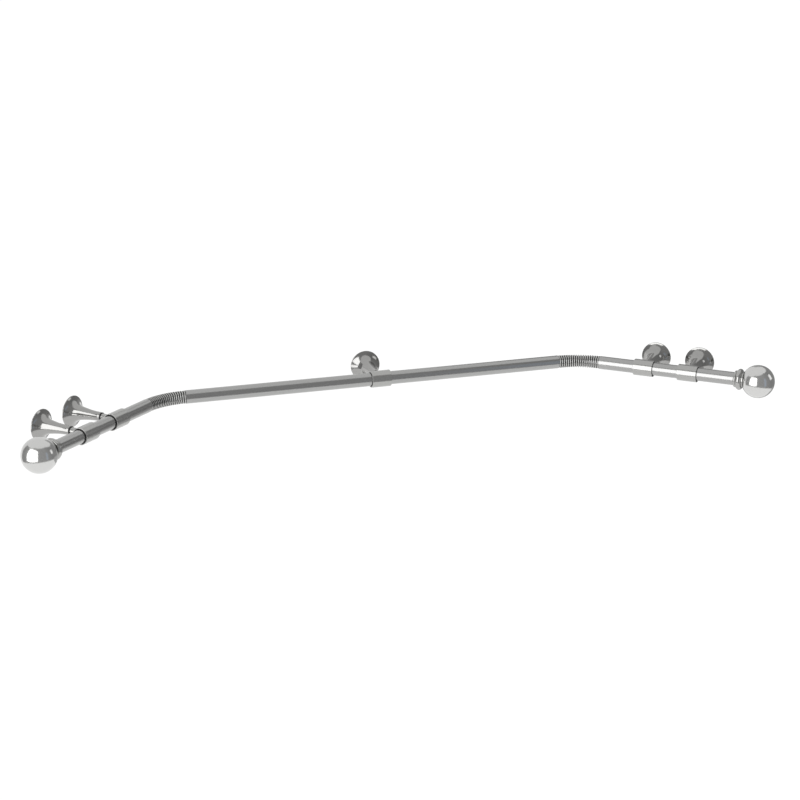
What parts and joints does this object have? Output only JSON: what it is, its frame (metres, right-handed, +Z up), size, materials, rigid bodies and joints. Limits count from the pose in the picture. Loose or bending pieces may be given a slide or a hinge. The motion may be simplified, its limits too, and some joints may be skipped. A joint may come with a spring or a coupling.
{
  "type": "bay window curtain pole",
  "caption": "Satin metal bay curtain pole: straight pole, ribbed bendable corner joints, arms with ball finials, and trumpet wall brackets with sliding collars.",
  "frame": {"origin": "middle of the centre bracket's wall face", "axes": "+X along the centre pole, +Y into the wall, +Z up"},
  "size_m": [1.5871, 0.4121, 0.07],
  "materials": {
    "satin_steel": "satin nickel, fine brush along the turned direction",
    "polished_alloy": "turned from aluminium, polished and nickel plated, softly reflecting",
    "ribbed_sleeve": "satin ribbed sleeve",
    "joint_insert": "plain turned",
    "plated_zinc": "bright zinc plate",
    "zinc_screw": "dull zinc",
    "black_nylon": "moulded black nylon"
  },
  "bodies": {
    "centre_mount": {"centre_wall_plate": "plated_zinc", "centre_trumpet": "satin_steel", "centre_neck_ring": "black_nylon"},
    "centre_clasp": {"centre_stem": "satin_steel", "centre_collar": "satin_steel", "centre_liner": "black_nylon", "centre_grip_screw": "zinc_screw"},
    "pole": {"centre_pole": "satin_steel", "left_bend_sleeve": "ribbed_sleeve", "left_bend_core": "joint_insert", "left_bend_plug_inner": "joint_insert", "right_bend_sleeve": "ribbed_sleeve", "right_bend_core": "joint_insert", "right_bend_plug_inner": "joint_insert"},
    "left_arm": {"left_arm_pole": "satin_steel", "left_bend_plug_outer": "joint_insert"},
    "left_finial": {"left_finial_neck": "satin_steel", "left_finial_ball": "polished_alloy", "left_finial_stud": "zinc_screw"},
    "left_inner_clasp": {"left_inner_stem": "satin_steel", "left_inner_collar": "satin_steel", "left_inner_liner": "black_nylon", "left_inner_grip_screw": "zinc_screw"},
    "left_inner_mount": {"left_inner_wall_plate": "plated_zinc", "left_inner_trumpet": "satin_steel", "left_inner_neck_ring": "black_nylon"},
    "left_outer_clasp": {"left_outer_stem": "satin_steel", "left_outer_collar": "satin_steel", "left_outer_liner": "black_nylon", "left_outer_grip_screw": "zinc_screw"},
    "left_outer_mount": {"left_outer_wall_plate": "plated_zinc", "left_outer_trumpet": "satin_steel", "left_outer_neck_ring": "black_nylon"},
    "right_arm": {"right_arm_pole": "satin_steel", "right_bend_plug_outer": "joint_insert"},
    "right_finial": {"right_finial_neck": "satin_steel", "right_finial_ball": "polished_alloy", "right_finial_stud": "zinc_screw"},
    "right_inner_clasp": {"right_inner_stem": "satin_steel", "right_inner_collar": "satin_steel", "right_inner_liner": "black_nylon", "right_inner_grip_screw": "zinc_screw"},
    "right_inner_mount": {"right_inner_wall_plate": "plated_zinc", "right_inner_trumpet": "satin_steel", "right_inner_neck_ring": "black_nylon"},
    "right_outer_clasp": {"right_outer_stem": "satin_steel", "right_outer_collar": "satin_steel", "right_outer_liner": "black_nylon", "right_outer_grip_screw": "zinc_screw"},
    "right_outer_mount": {"right_outer_wall_plate": "plated_zinc", "right_outer_trumpet": "satin_steel", "right_outer_neck_ring": "black_nylon"}
  },
  "joints": [
    {"name": "centre_projection", "type": "slide", "parent": "centre_mount", "child": "centre_clasp", "axis": [0, -1, 0], "range_m": [-0.01, 0.015]},
    {"name": "pole_slide", "type": "slide", "parent": "centre_clasp", "child": "pole", "axis": [1, 0, 0], "range_m": [-0.37, 0.38]},
    {"name": "left_bend", "type": "hinge", "parent": "pole", "child": "left_arm", "pos_m": [-0.47139, -0.104, 0], "axis": [0, 0, 1], "range_deg": [-43, 47], "deforming": ["left_bend_sleeve", "left_bend_core"]},
    {"name": "left_finial_pull", "type": "slide", "parent": "left_arm", "child": "left_finial", "axis": [-0.7314, -0.682, 0], "range_m": [0, 0.045]},
    {"name": "left_inner_slide", "type": "slide", "parent": "left_arm", "child": "left_inner_clasp", "axis": [-0.7314, -0.682, 0], "range_m": [-0.075, 0.015]},
    {"name": "left_inner_projection", "type": "slide", "parent": "left_inner_clasp", "child": "left_inner_mount", "axis": [-0.682, 0.7314, 0], "range_m": [-0.016, 0.009]},
    {"name": "left_outer_slide", "type": "slide", "parent": "left_arm", "child": "left_outer_clasp", "axis": [-0.7314, -0.682, 0], "range_m": [-0.015, 0.05]},
    {"name": "left_outer_projection", "type": "slide", "parent": "left_outer_clasp", "child": "left_outer_mount", "axis": [-0.682, 0.7314, 0], "range_m": [-0.016, 0.009]},
    {"name": "right_bend", "type": "hinge", "parent": "pole", "child": "right_arm", "pos_m": [0.45622, -0.104, 0], "axis": [0, 0, -1], "range_deg": [-42, 48], "deforming": ["right_bend_sleeve", "right_bend_core"]},
    {"name": "right_finial_pull", "type": "slide", "parent": "right_arm", "child": "right_finial", "axis": [0.7431, -0.6691, 0], "range_m": [0, 0.045]},
    {"name": "right_inner_slide", "type": "slide", "parent": "right_arm", "child": "right_inner_clasp", "axis": [0.7431, -0.6691, 0], "range_m": [-0.075, 0.015]},
    {"name": "right_inner_projection", "type": "slide", "parent": "right_inner_clasp", "child": "right_inner_mount", "axis": [0.6691, 0.7431, 0], "range_m": [0, 0.025]},
    {"name": "right_outer_slide", "type": "slide", "parent": "right_arm", "child": "right_outer_clasp", "axis": [0.7431, -0.6691, 0], "range_m": [-0.015, 0.05]},
    {"name": "right_outer_projection", "type": "slide", "parent": "right_outer_clasp", "child": "right_outer_mount", "axis": [0.6691, 0.7431, 0], "range_m": [0, 0.025]}
  ]
}
